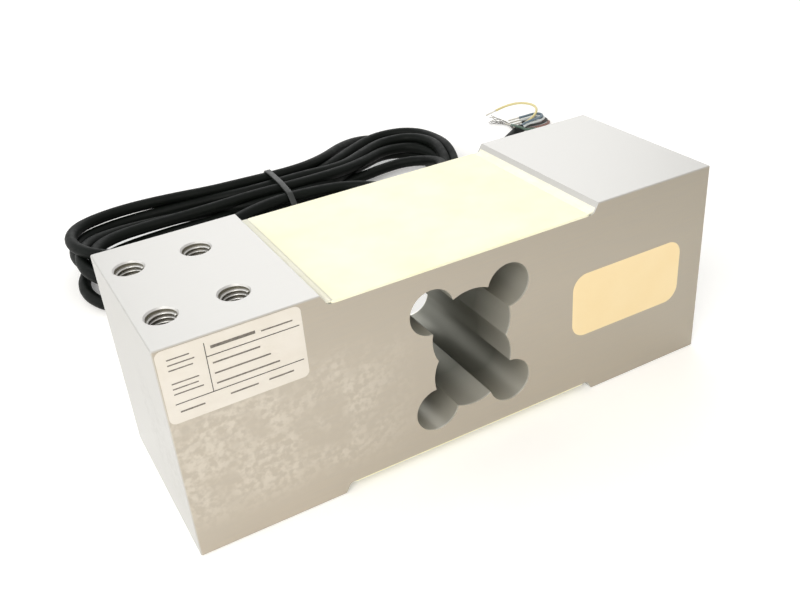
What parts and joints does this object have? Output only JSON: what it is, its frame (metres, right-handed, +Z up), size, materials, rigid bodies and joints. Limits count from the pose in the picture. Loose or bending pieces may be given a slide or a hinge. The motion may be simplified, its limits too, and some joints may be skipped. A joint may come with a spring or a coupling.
{
  "type": "single point load cell",
  "caption": "Block-shaped platform weighing sensor with a through cut-out over thin bending webs, threaded mounting pads, a potted side pocket and a tied cable with bare cores.",
  "frame": {"origin": "centre of the block's underside", "axes": "+X along the block's length towards the end with the potted terminal pocket, +Y towards the cable side, +Z up"},
  "size_m": [0.276, 0.2311, 0.065],
  "materials": {
    "aluminium_block": "fine milled, satin",
    "gauge_cover": "smooth poured, satin",
    "gauge_foil": "thin etched foil on film",
    "flat_lead": "flexible film",
    "circuit_board": "solder resist",
    "resistor_body": "ceramic chip",
    "tinned_copper": "tinned strands",
    "potting_resin": "smooth poured, satin",
    "label_film": "printed film, semi-gloss",
    "nylon_washer": "moulded",
    "nickel_brass": "nickel plated, turned",
    "seal_rubber": "moulded",
    "cable_jacket": "extruded, satin",
    "tie_nylon": "moulded, satin",
    "core_red": "extruded",
    "core_green": "extruded",
    "core_blue": "extruded",
    "core_black": "extruded",
    "core_white": "extruded",
    "core_yellow": "extruded"
  },
  "bodies": {
    "root": {"beam_body": "aluminium_block", "top_gauge_cover": "gauge_cover", "bottom_gauge_cover": "gauge_cover", "strain_gauge_top_left": "gauge_foil", "strain_gauge_top_right": "gauge_foil", "strain_gauge_bottom_left": "gauge_foil", "strain_gauge_bottom_right": "gauge_foil", "upper_gauge_leads": "flat_lead", "lower_gauge_leads": "flat_lead", "terminal_board": "circuit_board", "trim_resistors": "resistor_body", "terminal_cores": "tinned_copper", "terminal_potting": "potting_resin", "data_label": "label_film", "gland_washer": "nylon_washer", "gland_body": "nickel_brass", "gland_nut": "nickel_brass", "gland_seal": "seal_rubber", "cable_in_gland": "cable_jacket", "cable_lead": "cable_jacket", "cable_hank": "cable_jacket", "cable_tail": "cable_jacket", "cable_tie": "tie_nylon", "core_tips": "tinned_copper", "cable_screen": "tinned_copper", "wire_red": "core_red", "wire_green": "core_green", "wire_blue": "core_blue", "wire_black": "core_black", "wire_white": "core_white", "wire_yellow": "core_yellow"}
  },
  "joints": []
}
